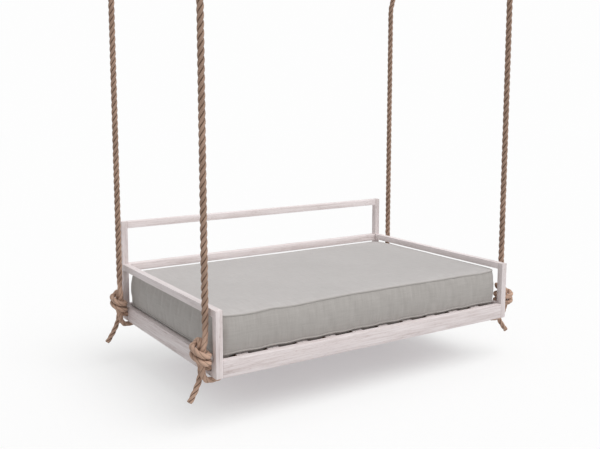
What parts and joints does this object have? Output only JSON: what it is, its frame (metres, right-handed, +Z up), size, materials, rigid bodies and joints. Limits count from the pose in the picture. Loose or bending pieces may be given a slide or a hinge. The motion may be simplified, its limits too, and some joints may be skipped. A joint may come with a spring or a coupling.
{
  "type": "hanging swing bed",
  "caption": "Hanging swing bed: a low timber day bed with slats, arms, a back and a piped mattress, hung by a knotted rope at each corner from ceiling hangers.",
  "frame": {"origin": "in the ceiling plane, midway between the four hangers", "axes": "+X to the right of somebody who looks at the open front, +Y towards the back rest, +Z up"},
  "size_m": [2.255, 1.286, 2.5277],
  "materials": {
    "timber": "whitewashed pine, thin matt stain with the grain showing",
    "slat_timber": "whitewashed pine slats, matt",
    "mattress_cover": "warm grey linen weave with piped edges",
    "rope": "three-strand natural fibre rope",
    "twine": "tarred twine, wound tight",
    "black_steel": "black powder coat",
    "bolt_steel": "zinc plated",
    "thimble_steel": "galvanised, satin",
    "screw_steel": "zinc plated",
    "dowel_wood": "plain beech"
  },
  "bodies": {
    "hangers": {"hanger_plate_front_left": "black_steel", "hanger_plate_front_right": "black_steel", "hanger_plate_back_left": "black_steel", "hanger_plate_back_right": "black_steel", "hanger_bolts": "bolt_steel", "hanger_nuts": "bolt_steel"},
    "link_front_left": {"link_front_left": "black_steel", "link_pin_front_left": "bolt_steel"},
    "link_front_right": {"link_front_right": "black_steel", "link_pin_front_right": "bolt_steel"},
    "link_back_left": {"link_back_left": "black_steel", "link_pin_back_left": "bolt_steel"},
    "link_back_right": {"link_back_right": "black_steel", "link_pin_back_right": "bolt_steel"},
    "rope_front_left": {"thimble_front_left": "thimble_steel", "seizing_front_left": "twine", "rope_front_left": "rope"},
    "rope_front_right": {"thimble_front_right": "thimble_steel", "seizing_front_right": "twine", "rope_front_right": "rope"},
    "rope_back_left": {"thimble_back_left": "thimble_steel", "seizing_back_left": "twine", "rope_back_left": "rope"},
    "rope_back_right": {"thimble_back_right": "thimble_steel", "seizing_back_right": "twine", "rope_back_right": "rope"},
    "knot_front_left": {"knot_front_left": "rope"},
    "knot_front_right": {"knot_front_right": "rope"},
    "knot_back_left": {"knot_back_left": "rope"},
    "knot_back_right": {"knot_back_right": "rope"},
    "bed": {"post_front_left": "timber", "post_front_right": "timber", "post_back_left": "timber", "post_back_right": "timber", "seat_rail_front": "timber", "seat_rail_back": "timber", "seat_rail_left": "timber", "seat_rail_right": "timber", "arm_left": "timber", "arm_right": "timber", "back_rail_top": "timber", "back_rail_lower": "timber", "ledger_front": "timber", "ledger_back": "timber", "centre_beam": "timber", "slat_1": "slat_timber", "slat_2": "slat_timber", "slat_3": "slat_timber", "slat_4": "slat_timber", "slat_5": "slat_timber", "slat_6": "slat_timber", "slat_7": "slat_timber", "slat_8": "slat_timber", "slat_9": "slat_timber", "slat_10": "slat_timber", "mattress": "mattress_cover", "dowels": "dowel_wood", "slat_screws": "screw_steel", "ledger_screws": "screw_steel"}
  },
  "joints": [
    {"name": "front_left_link_swing", "type": "hinge", "parent": "hangers", "child": "link_front_left", "pos_m": [-1.018, -0.565, -0.046], "axis": [1, 0, 0], "range_deg": [-15, 15]},
    {"name": "front_right_link_swing", "type": "hinge", "parent": "hangers", "child": "link_front_right", "pos_m": [1.018, -0.565, -0.046], "axis": [1, 0, 0], "range_deg": [-15, 15]},
    {"name": "back_left_link_swing", "type": "hinge", "parent": "hangers", "child": "link_back_left", "pos_m": [-1.036, 0.565, -0.046], "axis": [1, 0, 0], "range_deg": [-15, 15]},
    {"name": "back_right_link_swing", "type": "hinge", "parent": "hangers", "child": "link_back_right", "pos_m": [1.036, 0.565, -0.046], "axis": [1, 0, 0], "range_deg": [-15, 15]},
    {"name": "front_left_rope_sway", "type": "hinge", "parent": "link_front_left", "child": "rope_front_left", "pos_m": [-1.018, -0.565, -0.16], "axis": [0, 1, 0], "range_deg": [-4, 4]},
    {"name": "front_right_rope_sway", "type": "hinge", "parent": "link_front_right", "child": "rope_front_right", "pos_m": [1.018, -0.565, -0.16], "axis": [0, 1, 0], "range_deg": [-4, 4]},
    {"name": "back_left_rope_sway", "type": "hinge", "parent": "link_back_left", "child": "rope_back_left", "pos_m": [-1.036, 0.565, -0.16], "axis": [0, 1, 0], "range_deg": [-4, 4]},
    {"name": "back_right_rope_sway", "type": "hinge", "parent": "link_back_right", "child": "rope_back_right", "pos_m": [1.036, 0.565, -0.16], "axis": [0, 1, 0], "range_deg": [-4, 4]},
    {"name": "front_left_rope_bend", "type": "hinge", "parent": "rope_front_left", "child": "knot_front_left", "pos_m": [-1.018, -0.565, -1.785], "axis": [0, 1, 0], "range_deg": [-4, 4]},
    {"name": "front_right_rope_bend", "type": "hinge", "parent": "rope_front_right", "child": "knot_front_right", "pos_m": [1.018, -0.565, -1.785], "axis": [0, 1, 0], "range_deg": [-4, 4]},
    {"name": "back_left_rope_bend", "type": "hinge", "parent": "rope_back_left", "child": "knot_back_left", "pos_m": [-1.036, 0.565, -1.785], "axis": [0, 1, 0], "range_deg": [-4, 4]},
    {"name": "back_right_rope_bend", "type": "hinge", "parent": "rope_back_right", "child": "knot_back_right", "pos_m": [1.036, 0.565, -1.785], "axis": [0, 1, 0], "range_deg": [-4, 4]},
    {"name": "bed_level", "type": "hinge", "parent": "knot_front_left", "child": "bed", "pos_m": [-0.976, -0.565, -2.356], "axis": [1, 0, 0], "range_deg": [-15, 15]}
  ],
  "couplings": [
    {"joint": "front_right_link_swing", "follows": "front_left_link_swing", "ratio": 1},
    {"joint": "back_left_link_swing", "follows": "front_left_link_swing", "ratio": 1},
    {"joint": "back_right_link_swing", "follows": "front_left_link_swing", "ratio": 1},
    {"joint": "front_right_rope_sway", "follows": "front_left_rope_sway", "ratio": 1},
    {"joint": "back_left_rope_sway", "follows": "front_left_rope_sway", "ratio": 1},
    {"joint": "back_right_rope_sway", "follows": "front_left_rope_sway", "ratio": 1},
    {"joint": "front_left_rope_bend", "follows": "front_left_rope_sway", "ratio": -1},
    {"joint": "front_right_rope_bend", "follows": "front_left_rope_sway", "ratio": -1},
    {"joint": "back_left_rope_bend", "follows": "front_left_rope_sway", "ratio": -1},
    {"joint": "back_right_rope_bend", "follows": "front_left_rope_sway", "ratio": -1},
    {"joint": "bed_level", "follows": "front_left_link_swing", "ratio": -1}
  ]
}
